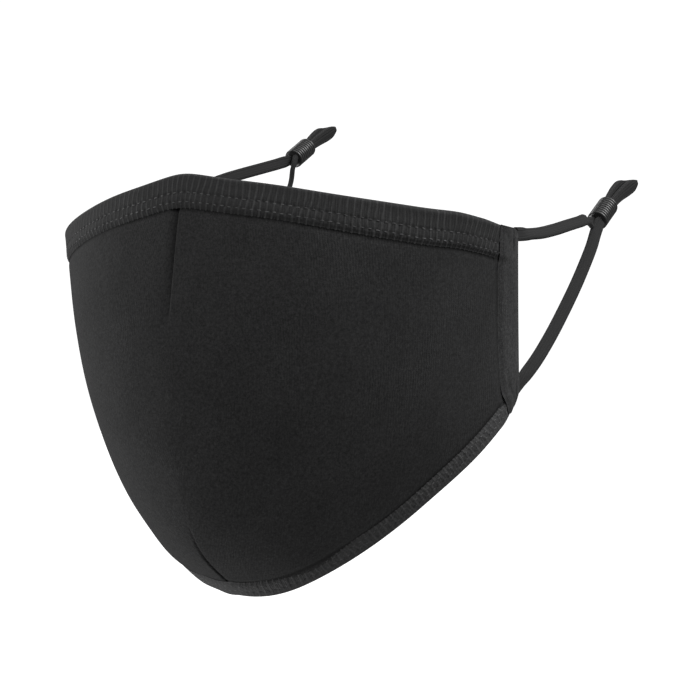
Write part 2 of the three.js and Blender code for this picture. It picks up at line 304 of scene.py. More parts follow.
def curve_through(points, share):
    """A smooth curve through evenly timed points, at shares from 0 to 1."""
    points = np.asarray(points, float)
    place = np.clip(share, 0, 1) * (len(points) - 1)
    first = np.minimum(place.astype(int), len(points) - 2)
    t = (place - first)[..., None]
    before, start, end, after = (points[np.clip(first + k, 0, len(points) - 1)] for k in (-1, 0, 1, 2))
    return hermite(start, end, (end - before) / 2, (after - start) / 2, t)


def fullness(column, down):
    top, middle, bottom = FULLNESS[column]
    return top * (1 - down) * (1 - 2 * down) + middle * 4 * down * (1 - down) + bottom * down * (2 * down - 1)


def side_edge(down):
    out, back, below = (start + (end - start) * down for start, end in SIDE_EDGE.values())
    return np.stack([out * WIDTH / 2, back * DEPTH, -below * HEIGHT], -1)


def form_points(across, down):
    """Points of the cup's outer surface: across from -1 (left edge) to 1 (right edge), down from 0 to 1."""
    across, down = np.broadcast_arrays(np.asarray(across, float), np.asarray(down, float))
    down = down * (1 - CORNER_LIFT * smoothstep(np.abs(across), CORNER_FROM, 1))
    nose = curve_through(NOSE_LINE, down) * (DEPTH, -HEIGHT)
    zero = np.zeros_like(down)
    start = np.stack([zero, nose[..., 0], nose[..., 1]], -1)
    end = side_edge(down)
    nose_slope = np.stack([zero + 1, fullness("nose_back", down), -fullness("nose_down", down)], -1)
    cheek_slope = np.stack([fullness("cheek_out", down), zero - 1, -fullness("cheek_down", down)], -1)
    nose_handle = start + nose_slope * (fullness("nose", down) * WIDTH / 2)[..., None]
    cheek_handle = end + cheek_slope * (fullness("cheek", down) * DEPTH)[..., None]
    t = np.abs(across)[..., None]
    point = (1 - t) ** 3 * start + 3 * (1 - t) ** 2 * t * nose_handle
    point += 3 * (1 - t) * t**2 * cheek_handle + t**3 * end
    ridge = CREASE_ROUNDING + (CHIN_ROUNDING - CREASE_ROUNDING) * smoothstep(down, *RIDGE_SPAN)
    rounding = np.hypot(point[..., 0], ridge) - point[..., 0]
    point[..., 1:] += nose_slope[..., 1:] * rounding[..., None]
    out, up = t[..., 0], 1 - down
    crown = NOSE_CROWN * bell(point[..., 0], NOSE_CROWN_REACH) * bell(down, EDGE_FADE["crown"])
    tuck = bumps(CHIN_TUCKS, point[..., 0] * np.sign(across)) * bell(up, EDGE_FADE["chin"])
    jaw = JAW_DROP * smoothstep(out, *JAW_SPAN) * bell(up, EDGE_FADE["jaw"])
    corner = CORNER_DROP * smoothstep(out, *CORNER_SPAN) - bumps(TOP_EDGE_RISES, out)
    point[..., 2] += crown + tuck - jaw - corner * bell(down, EDGE_FADE["top"])
    point[..., 0] *= np.sign(across)
    return point


def form_normals(across, down):
    """The surface's direction away from the face."""
    left = form_points(np.maximum(across - SLOPE_STEP, -1), down)
    right = form_points(np.minimum(across + SLOPE_STEP, 1), down)
    above = form_points(across, np.maximum(down - SLOPE_STEP, 0))
    below = form_points(across, np.minimum(down + SLOPE_STEP, 1))
    normal = np.cross(below - above, right - left)
    return normal / np.linalg.norm(normal, axis=-1, keepdims=True)


def lifted(across, down, out):
    return form_points(across, down) + form_normals(across, down) * out[..., None]


def lengths_along(points):
    """Lengths walked along rows of points, the last axis but one being the walk."""
    steps = np.linalg.norm(np.diff(points, axis=-2), axis=-1)
    return np.concatenate([np.zeros(steps.shape[:-1] + (1,)), np.cumsum(steps, axis=-1)], axis=-1)


def shares_at(lengths, walked, shares):
    """For each row of wanted lengths, the shares at which a walk reaches them."""
    return np.stack([np.interp(want, have, shares) for want, have in zip(lengths, walked)])


# Meshes


def new_mesh(name, bm):
    """A mesh that takes over a bmesh."""
    mesh = bpy.data.meshes.new(name)
    bm.to_mesh(mesh)
    bm.free()
    return mesh


def put(name, data):
    thing = bpy.data.objects.new(name, data)
    bpy.context.scene.collection.objects.link(thing)
    return thing


def lay_grid(name, points, uvs, relief):
    """A tube of cloth: a grid whose rows of vertices lie at points, joined along its first and last row."""
    columns, rows = points.shape[0] - 1, points.shape[1] - 1
    bm = bmesh.new()
    bmesh.ops.create_grid(bm, x_segments=columns, y_segments=rows, size=1.0)
    mesh = new_mesh(name, bm)
    grid = np.empty(len(mesh.vertices) * 3, np.float32)
    mesh.vertices.foreach_get("co", grid)
    spot = np.rint((grid.reshape(-1, 3)[:, :2] + 1) / 2 * (columns, rows)).astype(int)
    corners = np.empty(len(mesh.loops), np.int32)
    mesh.loops.foreach_get("vertex_index", corners)
    mesh.vertices.foreach_set("co", points[spot[:, 0], spot[:, 1]].astype(np.float32).ravel())
    layer = mesh.uv_layers.new(name="cloth")
    layer.data.foreach_set("uv", uvs[spot[corners, 0], spot[corners, 1]].astype(np.float32).ravel())
    # The relief attribute keeps a painted shade from 0 to 1, which the materials multiply the colour by
    attribute = mesh.attributes.new("relief", "FLOAT", "POINT")
    attribute.data.foreach_set("value", relief[spot[:, 0], spot[:, 1]].astype(np.float32))
    bm = bmesh.new()
    bm.from_mesh(mesh)
    bmesh.ops.remove_doubles(bm, verts=bm.verts, dist=SAME_PLACE)
    bmesh.ops.holes_fill(bm, edges=[edge for edge in bm.edges if edge.is_boundary], sides=0)
    bmesh.ops.recalc_face_normals(bm, faces=bm.faces)
    for face in bm.faces:
        face.smooth = len(face.verts) == 4
    bm.to_mesh(mesh)
    bm.free()
    return add_piece(name, mesh)


def add_piece(name, mesh):
    piece = put(name, mesh)
    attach(piece, "root")
    return piece


def finish_piece(piece, material):
    piece.data.materials.clear()
    piece.data.materials.append(material)


def straight(start, end, steps):
    """Points on a line in the section's plane, without its last."""
    return np.linspace(start, end, steps, endpoint=False)


def arc(centre, radius, start, end, steps):
    """Points on an arc in the section's plane, angles in degrees from the inset axis."""
    angle = np.radians(np.linspace(start, end, steps, endpoint=False))
    return np.stack([centre[0] + radius * np.cos(angle), centre[1] + radius * np.sin(angle)], -1)


def folded_section(width, cloth, gap, leg_steps):
    """Round a strip folded over the cloth's edge: inset from the edge and out of the surface, then each
    point's outward direction in that plane and how much of the strip's relief it takes."""
    front = gap + cloth
    back = -SHELL_CLOTH - gap - cloth
    middle = (front + back) / 2
    outer_radius = (front - back) / 2
    inner_radius = outer_radius - cloth
    turn = (outer_radius, middle)
    hem = cloth / 2
    parts = [
        (straight((width, front), (outer_radius, front), leg_steps), 1),
        (arc(turn, outer_radius, 90, 270, 14), 1),
        (straight((outer_radius, back), (width, back), leg_steps // 2), 1),
        (arc((width, back + hem), hem, -90, 90, 5), 0.4),
        (straight((width, back + cloth), (outer_radius, back + cloth), 3), 0),
        (arc(turn, inner_radius, 270, 90, 5), 0),
        (straight((outer_radius, front - cloth), (width, front - cloth), 3), 0),
        (arc((width, front - hem), hem, -90, 90, 5), 0.4),
    ]
    section = np.concatenate([points for points, _ in parts])
    share = np.concatenate([np.full(len(points), amount) for points, amount in parts])
    section = np.concatenate([section, section[:1]])
    share = np.concatenate([share, share[:1]])
    tangent = np.roll(section[:-1], -1, 0) - np.roll(section[:-1], 1, 0)
    tangent = np.concatenate([tangent, tangent[:1]])
    outward = np.stack([tangent[:, 1], -tangent[:, 0]], -1)
    outward /= np.linalg.norm(outward, axis=1, keepdims=True)
    return section, outward, share


def hem_valley(past_hem):
    """How deep the cloth lies pulled in, by the distance past a hem."""
    return HEM_VALLEY * bell(past_hem - HEM_VALLEY_PAST, HEM_VALLEY_REACH)


def press_hem(inset, out, width, gap, hem):
    """Thins a folded strip towards its two hems and lays them on the cloth below."""
    pressed = smoothstep(inset, width - hem["run"], width)
    middle = -SHELL_CLOTH / 2
    above = np.abs(out - middle) - SHELL_CLOTH / 2
    above = gap + (above - gap) * (1 - hem["thinning"] * pressed) - 0.8 * LAYER_GAP * pressed
    above = above - hem_valley(inset - width) * hem["valley"]
    return middle + np.sign(out - middle) * (above + SHELL_CLOTH / 2)


def cloth_places(section, along):
    """The cloth's own coordinates round a section and along it."""
    round_it = lengths_along(np.stack([section[:, 0], section[:, 1], 0 * section[:, 0]], -1))
    return np.broadcast_arrays(round_it[None, :], along)


class EdgeBand:
    """A strip along the top or the bottom edge, measured along it and in from the edge."""

    def __init__(self, width, from_top):
        self.width = width
        self.from_top = from_top
        from_side = np.linspace(0, 1, 401)
        edge_walk = lengths_along(form_points(1 - from_side, 0.0 if from_top else 1.0))
        reach = np.interp(CASING_WIDTH - CASING_OVERLAP, edge_walk, from_side)
        self.line = np.linspace(reach - 1, 1 - reach, 1201)
        middle = self.shares(self.line, np.full((len(self.line), 1), width / 2))[:, 0]
        centre = form_points(self.line, middle)
        self.walked = lengths_along(centre)
        self.length = self.walked[-1]
        inward = form_points(self.line, middle + (SLOPE_STEP if from_top else -SLOPE_STEP)) - centre
        inward /= np.linalg.norm(inward, axis=-1, keepdims=True)
        forward = np.gradient(centre, axis=0)
        forward /= np.linalg.norm(forward, axis=-1, keepdims=True)
        self.skew = np.sum(inward * forward, axis=-1)

    def across(self, along):
        return np.interp(along, self.walked, self.line)

    def square(self, along, inset):
        """Lengths along the band whose lines run square to its edge."""
        return along[:, None] + np.interp(along, self.walked, self.skew)[:, None] * inset

    def shares(self, across, inset):
        """How far down the cup each inset lies, for each place across."""
        steps = np.linspace(0, 0.4, 81)
        levels = steps if self.from_top else 1 - steps
        walked = lengths_along(form_points(across[:, None], levels[None, :]))
        return shares_at(inset, walked, levels)

    def place(self, along, inset, out):
        across = self.across(along)
        if not self.from_top:
            inset = inset * slimmed(form_points(across, 1.0)[:, :1])
        return lifted(across[:, None], self.shares(across, inset), out)


def wobble(along, inset, size):
    """A small smooth waviness, so that knitted ribs don't run dead straight."""
    return size * (
        np.sin(along / (9.1 * MM) + inset / (3.3 * MM))
        + 0.6 * np.sin(along / (4.3 * MM) - inset / (2.1 * MM) + 1.3)
        + 0.4 * np.sin(along / (2.7 * MM) + inset / (1.3 * MM) + 0.4)
    )


def rib_crests(along, inset):
    """1 on top of a rib and 0 in the valley between two, with a lesser rib half way."""
    phase = (along + wobble(along, inset, 0.19 * MM)) / settings().rib_pitch
    main = (0.5 + 0.5 * np.cos(2 * math.pi * phase)) ** 3
    lesser = (0.5 - 0.5 * np.cos(2 * math.pi * phase)) ** 4
    return main + 0.45 * lesser


STITCH_ROWS = {"top": (0.575, 0.84), "bottom": (0.45, 0.8)}
STITCH_PINCH = {"pull": 0.16 * MM, "reach": 1.2 * MM}
STITCH_CHANNEL = {"deep": 0.08 * MM, "hole": 0.16 * MM, "reach": 0.5 * MM, "hole_reach": 0.42 * MM}
STITCH_SIZE = {"half": 0.62 * MM, "wide": 0.19 * MM, "high": 0.17 * MM, "sunk": 0.11 * MM, "follow": 0.3 * MM}
HEM_SCALLOP = 0.3 * MM
# Where the thread lies proud of the ribs, in millimetres from the band's middle
PROUD_STITCHES = {
    "top": (
        {"at": -11, "reach": 8, "rise": 1.0},
        {"at": 64, "reach": 30, "rise": 0.7},
        {"at": -64, "reach": 30, "rise": 0.7},
    ),
    "bottom": ({"at": 0, "reach": 1, "rise": 0},),
}


def proud(edge, off_middle):
    return np.clip(bumps(PROUD_STITCHES[edge], off_middle / MM), 0, 1)


def build_binding(edge, from_top, width, node):
    """One ribbed band with its two rows of cover stitches."""
    band = EdgeBand(width, from_top)
    sizes = settings()
    section, outward, share = folded_section(width, BAND_CLOTH, LAYER_GAP, 34)
    columns = int(round(band.length / sizes.rib_pitch)) * 9
    along = np.linspace(0, band.length, columns + 1)
    inset = np.broadcast_to(section[:, 0], (columns + 1, len(section)))
    out = np.broadcast_to(section[:, 1], inset.shape)
    run = along[:, None]
    off_rows = [inset - row * width for row in STITCH_ROWS[edge]]
    near_rows = sum(bell(off, STITCH_PINCH["reach"]) for off in off_rows)
    pinch = STITCH_PINCH["pull"] * np.sin(2 * math.pi * run / sizes.stitch_pitch) * near_rows
    crest = rib_crests(band.square(along, inset) + pinch, inset)
    over_fold = 0.12 + 0.88 * smoothstep(inset, 0.6 * MM, 3.5 * MM)
    relief = sizes.rib_height * (1 if from_top else 0.8) * (crest - 1) * over_fold
    off_hole = (run / sizes.stitch_pitch) % 1 - 0.5
    hole = bell(off_hole * sizes.stitch_pitch, STITCH_CHANNEL["hole_reach"])
    channel = sum(bell(off, STITCH_CHANNEL["reach"]) for off in off_rows)
    relief = relief - channel * (STITCH_CHANNEL["deep"] + STITCH_CHANNEL["hole"] * hole)
    scallop = smoothstep(inset, 0.86 * width, width) * HEM_SCALLOP * (crest - 0.6)
    lifted_out = press_hem(inset, out, width, LAYER_GAP, BAND_HEM) + outward[:, 1] * relief * share
    lifted_in = inset + outward[:, 0] * relief * share + scallop
    points = band.place(along, np.maximum(lifted_in, 0), lifted_out)
    round_it, walked = cloth_places(section, run)
    uvs = np.stack([walked, round_it], -1)
    # Painted highlight on the rib crests and painted shade between the ribs and in the stitch channels
    shade = np.clip(crest**2 - 0.5 * channel * hole, 0, 1)
    piece = lay_grid(f"{edge}_band", points, uvs, shade)
    finish_piece(piece, rib_knit_material() if from_top else lower_rib_material())
    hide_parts(node)
    build_stitches(edge, band)


def stitch_shape():
    """One stitch: a short bead of thread, a unit long, which each place scales and turns."""
    bm = bmesh.new()
    bmesh.ops.create_uvsphere(bm, u_segments=8, v_segments=6, radius=1)
    for face in bm.faces:
        face.smooth = True
    return new_mesh("stitch", bm)


def build_stitches(edge, band):
    """The thread of the cover stitches, on both faces of a binding."""
    pitch = settings().stitch_pitch
    chance = np.random.default_rng(11 if band.from_top else 12)
    shape = stitch_shape()
    bm = bmesh.new()
    count = int(band.length / pitch)
    front = LAYER_GAP + BAND_CLOTH - 0.1 * MM
    back = -SHELL_CLOTH - front
    for row in STITCH_ROWS[edge]:
        for out in (front, back):
            along = (np.arange(count) + 1.0) * pitch + chance.normal(0, 0.06 * MM, count)
            inset = np.full((count, 1), row * band.width) + chance.normal(0, 0.07 * MM, (count, 1))
            face = math.copysign(1, out)
            sunk = STITCH_SIZE["sunk"] * (1 - proud(edge, along - band.length / 2))[:, None] * face
            follow = (-STITCH_SIZE["follow"], STITCH_SIZE["follow"])
            ends = [band.place(along + shift, inset, out - sunk)[:, 0] for shift in follow]
            centre = (ends[0] + ends[1]) / 2
            across = band.across(along)
            normal = form_normals(across[:, None], band.shares(across, inset))[:, 0] * face
            for start, end, middle, away in zip(ends[0], ends[1], centre, normal):
                forward = Vector(end - start).normalized()
                up = Vector(away).normalized()
                aside = up.cross(forward).normalized()
                lean = chance.normal(0, 0.1)
                forward = (forward + aside * lean).normalized()
                aside = up.cross(forward)
                turn = Matrix((forward, aside, up)).transposed().to_4x4()
                half = STITCH_SIZE["half"] * chance.uniform(0.8, 1.15)
                size = Matrix.Diagonal((half, STITCH_SIZE["wide"], STITCH_SIZE["high"], 1))
                stitch = shape.copy()
                stitch.transform(Matrix.Translation(Vector(middle)) @ turn @ size)
                bm.from_mesh(stitch)
                bpy.data.meshes.remove(stitch)
    bpy.data.meshes.remove(shape)
    name = f"{edge}_stitches"
    finish_piece(add_piece(name, new_mesh(name, bm)), thread_material())


def slimmed(aside):
    """The bottom band's width beside its full width: less towards the casings."""
    return 1 - 0.19 * smoothstep(np.abs(aside), 22 * MM, 50 * MM)


def chin_lean(from_bottom):
    return 1.2 * MM * smoothstep(from_bottom, 8 * MM, 24 * MM)


def chin_fold_painted_shade(aside, from_bottom):
    """Painted shade along the chin dart's fold: 1 in the fold, fading beside it and towards its end."""
    fade = smoothstep(from_bottom, CHIN_DART_LENGTH + 5 * MM, CHIN_DART_LENGTH - 8 * MM)
    return bell(aside + chin_lean(from_bottom), 0.5 * MM) * fade


def dart_pull(aside, from_top, from_bottom):
    """How far the darts pull the cloth in: a soft slope from the left that ends in a crisp fold."""
    sizes = settings()
    nose_start = TOP_BINDING_WIDTH - 2 * MM
    chin_start = BOTTOM_BINDING_WIDTH - 2 * MM
    nose = np.clip(1 - (from_top - nose_start) / (NOSE_DART_LENGTH + 2 * MM), 0, 1)
    chin = np.clip(1 - (from_bottom - chin_start) / (CHIN_DART_LENGTH + 2 * MM), 0, 1)
    nose *= smoothstep(from_top, 3 * MM, nose_start) * (0.6 + 0.4 * smoothstep(from_top, 9 * MM, 22 * MM))
    chin *= smoothstep(from_bottom, 3 * MM, chin_start)
    soft = np.clip(1 + aside / (3.2 * MM), 0, 1) ** 1.7
    crisp = np.clip(1 - aside / (0.7 * MM), 0, 1) ** 2
    nose_shape = np.where(aside < 0, soft, crisp)
    chin_aside = np.abs(aside + chin_lean(from_bottom))
    chin_shape = np.clip(1 - chin_aside / (0.8 * MM), 0, 1) ** 1.2
    nose_pull = sizes.nose_dart_depth * nose**0.7 * nose_shape
    return nose_pull + sizes.chin_dart_depth * chin**0.6 * chin_shape


def clear_of_bands(from_top, from_bottom):
    """0 where a casing lies on a band's end, and 1 where it lies on the cup."""
    top = smoothstep(from_top, TOP_BINDING_WIDTH, TOP_BINDING_WIDTH + 4 * MM)
    return top * smoothstep(from_bottom, LOWER_BAND_END, LOWER_BAND_END + 4 * MM)


def top_flare(run):
    """How much wider a casing is towards its top end."""
    return 0.7 * MM * smoothstep(run, 20 * MM, 3 * MM)


def hem_valleys(aside, from_top, from_bottom, from_side):
    """How deep the cup lies pulled in beside the bands' and the casings' hems."""
    past_strip = from_side - CASING_WIDTH - top_flare(from_top)
    past_lower_band = from_bottom - BOTTOM_BINDING_WIDTH * slimmed(aside)
    valleys = np.maximum(hem_valley(from_top - TOP_BINDING_WIDTH), hem_valley(past_lower_band))
    valleys = valleys * smoothstep(past_strip, -0.5 * MM, 2.5 * MM)
    return np.maximum(valleys, hem_valley(past_strip) * clear_of_bands(from_top, from_bottom))


def build_cup():
    """The cup of doubled jersey, one closed skin with the darts pulled in."""
    columns, outer_rows, inner_rows = CUP_GRID
    spread = np.linspace(-1, 1, columns + 1)
    across = 0.22 * spread + 0.78 * spread * np.abs(spread) ** 0.75
    lip = BINDING_CLOTH + 2 * CLEARANCE
    levels = np.linspace(0, 1, 161)
    walked = lengths_along(form_points(across[:, None], levels[None, :]))
    total = walked[:, -1:]
    down = np.linspace(0, 1, outer_rows + 1)
    up = np.linspace(1, 0, inner_rows + 1)
    reach = np.concatenate([down, up, down[:1]])
    depth = np.concatenate([np.zeros(outer_rows + 1), np.full(inner_rows + 1, SHELL_CLOTH), [0]])
    from_top = lip + reach[None, :] * (total - 2 * lip)
    share = shares_at(from_top, walked, levels)
    edge_inset = CASING_CLOTH + 2 * CLEARANCE + CASING_CORNER / 3
    inward = np.linspace(0, 1, 201)
    side_walk = lengths_along(form_points(1 - inward[None, :], levels[:, None]))
    cut = np.array([np.interp(edge_inset, row, inward) for row in side_walk])
    place = across[:, None] * (1 - np.interp(share, levels, cut))
    surface = form_points(place, share)
    aside = surface[..., 0]
    from_bottom = total - from_top
    pull = dart_pull(aside, from_top, from_bottom)
    sideways = lengths_along(np.swapaxes(surface, 0, 1)).T
    sideways -= sideways[columns // 2][None, :]
    from_side = sideways[-1:] - np.abs(sideways) + edge_inset
    valleys = hem_valleys(aside, from_top, from_bottom, from_side)
    (at_side, side_reach), (at_height, height_reach) = CHIN_SWELL["aside"], CHIN_SWELL["above"]
    swell = bell(np.abs(aside) - at_side, side_reach) * bell(from_bottom - at_height, height_reach)
    pull = pull + valleys - CHIN_SWELL["out"] * swell
    ripple = 0.05 * MM * np.sin(aside / (6.5 * MM) + 3 * share) * np.cos(share * 9 + aside / (21 * MM))
    points = surface + form_normals(place, share) * (ripple - pull - depth[None, :])[..., None]
    level = np.swapaxes(surface, 0, 1) * (1, 1, 0)
    wale = lengths_along(level).T
    wale = np.abs(wale - wale[columns // 2][None, :])
    wale = wale[-1:] - wale
    lean = 0.22 * bell(sideways, 45 * MM) * np.exp(-from_top / (60 * MM))
    uvs = np.stack([wale + lean * from_top, from_top], -1)
    # Painted shade: darker in the valleys beside the hems and along the chin dart's fold
    relief = 1 - 0.88 * valleys / HEM_VALLEY - 0.9 * chin_fold_painted_shade(aside, from_bottom)
    piece = lay_grid("jersey_cup", points, uvs, relief)
    finish_piece(piece, jersey_material())
    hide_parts("mask_shell")


def build_casing(side):
    """A plain strip folded over a side edge and over the bindings' ends, with its soft puckers."""
    sign = SIDES[side]
    lift = BAND_CLOTH + 2 * LAYER_GAP
    section, outward, share = folded_section(CASING_WIDTH, STRIP_CLOTH, lift, 26)
    down = 0.98 * (0.5 - 0.5 * np.cos(np.linspace(0, math.pi, CASING_STATIONS + 1)))
    edge = form_points(np.full(len(down), float(sign)), down)
    along = lengths_along(edge)
    length = along[-1]
    inward = np.linspace(0, 0.3, 61)
    walked = lengths_along(form_points(sign * (1 - inward[None, :]), down[:, None]))
    inset = np.broadcast_to(section[:, 0], (len(down), len(section)))
    out = np.broadcast_to(section[:, 1], inset.shape)
    run = along[:, None]
    from_end = np.minimum(run, length - run)
    corner = np.maximum(CASING_CORNER - from_end, 0)
    rounding = CASING_CORNER - np.sqrt(CASING_CORNER**2 - corner**2)
    relief = np.zeros(inset.shape)
    for pucker in CASING_PUCKERS:
        off_along = run - pucker["along"] * MM
        off_inset = inset - pucker["inset"] * MM - pucker["lean"] * off_along
        fade = bell(off_along, pucker["long"] * MM) * bell(off_inset, pucker["wide"] * MM)
        relief = relief - pucker["deep"] * MM * fade
    ripple = 0.05 * MM * np.sin(run / (1.9 * MM) + inset / (2.6 * MM))
    relief = relief + ripple * smoothstep(inset, 0.3 * CASING_WIDTH, CASING_WIDTH)
    flare = (top_flare(run) - 2.5 * MM * smoothstep(length - run, 9 * MM, 0)) * inset / CASING_WIDTH
    over_top = smoothstep(run, TOP_BINDING_WIDTH + 0.5 * MM, TOP_BINDING_WIDTH - 2 * MM)
    over_bottom = smoothstep(length - run, LOWER_BAND_END + 0.5 * MM, LOWER_BAND_END - 2 * MM)
    sunk = smoothstep(inset, 0.25 * CASING_WIDTH, 0.95 * CASING_WIDTH)
    sunk = sunk * (lift - LAYER_GAP) * (1 - np.maximum(over_top, over_bottom))
    lifted_out = press_hem(inset, out, CASING_WIDTH, lift, STRIP_HEM) + outward[:, 1] * relief * share
    sunk = sunk + hem_valley(inset - CASING_WIDTH) * clear_of_bands(run, length - run)
    lifted_out = lifted_out - np.sign(out + SHELL_CLOTH / 2) * sunk
    lifted_in = inset + outward[:, 0] * relief * share
    lifted_in = lifted_in + 1.8 * rounding * (1 - inset / CASING_WIDTH) + flare
    reach = shares_at(np.maximum(lifted_in, 0), walked, inward)
    points = lifted(sign * (1 - reach), down[:, None], lifted_out)
    uvs = np.stack(cloth_places(section, run), -1)
    # Painted shade in the puckers' creases
    shade = np.clip(1 + relief / (0.5 * MM), 0, 1)
    piece = lay_grid(f"casing_strip_{side}", points, uvs, shade)
    finish_piece(piece, casing_material())
    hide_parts(f"side_casing_{side}")


# Ear loops


def cord_route(points, spacing):
    """A smooth path through the listed points and on into the casing at both ends, in even steps."""
    knots = np.array(points) * MM
    inside = [(knots[0], knots[1], CORD_INSIDE[0]), (knots[-1], knots[-2], CORD_INSIDE[1])]
    ways = [(end, (end - start) / np.linalg.norm(end - start), reach) for end, start, reach in inside]
    first, last = (end + way * reach for end, way, reach in ways)
    knots = np.concatenate([[first], knots, [last]])
    timing = lengths_along(knots)
    slope = np.empty_like(knots)
    gaps = np.diff(timing)[:, None]
    rates = np.diff(knots, axis=0) / gaps
    slope[1:-1] = (rates[:-1] * gaps[1:] + rates[1:] * gaps[:-1]) / (gaps[1:] + gaps[:-1])
    slope[0], slope[-1] = rates[0], rates[-1]
    fine = np.linspace(0, timing[-1], 4001)
    first = np.clip(np.searchsorted(timing, fine, side="right") - 1, 0, len(knots) - 2)
    gap = gaps[first]
    t = ((fine - timing[first]) / gap[:, 0])[:, None]
    route = hermite(knots[first], knots[first + 1], slope[first] * gap, slope[first + 1] * gap, t)
    walked = lengths_along(route)
    steps = np.linspace(0, walked[-1], int(walked[-1] / spacing) + 1)
    return np.stack([np.interp(steps, walked, route[:, axis]) for axis in range(3)], -1), steps


def elastic_section(width, thickness, ribs, steps):
    """Round the flat elastic: offsets across its faces and along its width, rounded at both edges."""
    angle = np.linspace(0, 2 * math.pi, steps + 1)
    radius = thickness / 2
    flat = width / 2 - radius
    power = 0.55
    along = np.sign(np.sin(angle)) * np.abs(np.sin(angle)) ** power * (width / 2)
    edge = np.clip((np.abs(along) - flat) / radius, 0, 1)
    through = np.sign(np.cos(angle)) * radius * np.sqrt(1 - edge**2)
    groove = 0.5 - 0.5 * np.cos(2 * math.pi * ribs * (along / width + 0.5))
    # Painted shade: darker in the grooves between the ribs
    relief = 1 - groove
    through = through * (1 - 0.13 * groove * (1 - edge))
    return through, along, relief


def tube_middle(side):
    """The middle of an adjuster, a little further forward than the frame's."""
    low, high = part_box(f"adjuster_{side}")
    rise = math.radians(ADJUSTER_RISE[side])
    return (low + high) / 2 - Vector((0, math.cos(rise), math.sin(rise))) * TUBE_FORWARD


def build_ear_loop(side):
    """One flat elastic, from the casing's top end through its adjuster, round and back to the casing."""
    sizes = settings()
    path, steps = cord_route(EAR_LOOPS[side], CORD_STEP)
    tangent = np.gradient(path, axis=0)
    tangent /= np.linalg.norm(tangent, axis=1, keepdims=True)
    facing = np.empty_like(path)
    current = np.array([1.0, 0.0, 0.0])
    for step, along in enumerate(tangent):
        current = current - along * (current @ along)
        current /= np.linalg.norm(current)
        facing[step] = current
    from_end = steps[-1] - steps
    fold = steps[np.argmax(path[:, 1])]
    in_tube = np.linalg.norm(path - np.array(tube_middle(side)), axis=1) < TUBE_LENGTH / 2
    mouth_in, mouth_out = steps[in_tube].min(), steps[in_tube].max()
    upper = smoothstep(steps, 3 * MM, 14 * MM) * smoothstep(steps, mouth_in + 2 * MM, mouth_in - 10 * MM)
    lower = smoothstep(from_end, 5 * MM, 14 * MM) * smoothstep(steps, mouth_out - 5 * MM, mouth_out + 6 * MM)
    twist = np.radians(UPPER_TWIST[side]) * upper + np.radians(LOWER_TWIST * SIDES[side]) * lower
    upright = np.cross(tangent, facing)
    turned = facing * np.cos(twist)[:, None] + upright * np.sin(twist)[:, None]
    facing, upright = turned, np.cross(tangent, turned)
    through, wide, relief = elastic_section(sizes.cord_width, sizes.cord_thickness, sizes.cord_ribs, 96)
    squeezed = smoothstep(steps, mouth_in - 5 * MM, mouth_in + 1 * MM)
    squeezed = squeezed * smoothstep(steps, mouth_out + 5 * MM, mouth_out - 1 * MM)
    bunched = np.exp(-(((steps - fold) / (16 * MM)) ** 4))
    folded = bell(steps - fold, 4 * MM)
    thick = 1 + 0.3 * squeezed + 0.5 * bunched + 0.2 * folded
    broad = 1 - 0.2 * squeezed + 0.32 * bunched - 0.92 * folded
    points = path[:, None] + facing[:, None] * (thick[:, None] * through[None, :])[..., None]
    points = points + upright[:, None] * (broad[:, None] * wide[None, :])[..., None]
    round_it = np.linspace(0, 2 * (sizes.cord_width + sizes.cord_thickness), len(wide))
    uvs = np.stack(np.broadcast_arrays(round_it[None, :], steps[:, None]), -1)
    # Painted shade in the grooves, deeper where the elastic is bunched
    slack = (0.25 + 0.75 * bunched)[:, None]
    shade = 1 - (1 - relief)[None, :] * slack
    piece = lay_grid(f"elastic_loop_{side}", points, uvs, shade)
    finish_piece(piece, elastic_material())
    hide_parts(f"ear_loop_{side}")


def build_adjuster(side):
    """A soft rubber tube with rounded rings, lying where the frame's adjuster lies."""
    low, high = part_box(f"adjuster_{side}")
    centre = tube_middle(side)
    outer = (high.x - low.x) / 2
    rise = math.radians(ADJUSTER_RISE[side])
    rings = settings().adjuster_rings
    pitch = TUBE_LENGTH / rings
    groove = outer - TUBE_GROOVE
    cap = [(radius, TUBE_LENGTH / 2 + height * TUBE_DOME) for radius, height in TUBE_CAP]
    profile = [(radius, -height) for radius, height in cap]
    for ring in range(rings):
        middle = -TUBE_LENGTH / 2 + (ring + 0.5) * pitch
        for step in range(7):
            angle = math.pi * (step / 6 - 0.5)
            swell = math.cos(angle) ** 0.6 if step not in (0, 6) else 0
            height = middle + pitch / 2 * 0.96 * math.sin(angle)
            profile.append((groove + TUBE_GROOVE * swell, height))
    profile += reversed(cap)
    bm = bmesh.new()
    verts = [bm.verts.new((radius, 0, height)) for radius, height in profile]
    edges = [bm.edges.new(pair) for pair in zip(verts, verts[1:])]
    turn = {"cent": (0, 0, 0), "axis": (0, 0, 1), "angle": 2 * math.pi, "steps": 48}
    bmesh.ops.spin(bm, geom=verts + edges, use_merge=True, **turn)
    bmesh.ops.remove_doubles(bm, verts=bm.verts, dist=SAME_PLACE)
    bmesh.ops.recalc_face_normals(bm, faces=bm.faces)
    bmesh.ops.transform(bm, matrix=Matrix.Rotation(rise - math.pi / 2, 4, "X"), verts=bm.verts)
    bmesh.ops.translate(bm, vec=centre, verts=bm.verts)
    for face in bm.faces:
        face.smooth = True
    name = f"adjuster_tube_{side}"
    piece = add_piece(name, new_mesh(name, bm))
    finish_piece(piece, rubber_material())
    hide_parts(f"adjuster_{side}")


# Finishes


NOISE_SPAN = (0.3, 0.7)
PATCH_SPAN = (0.35, 0.65)
LOOP_SPAN = (-0.8, 0.8)


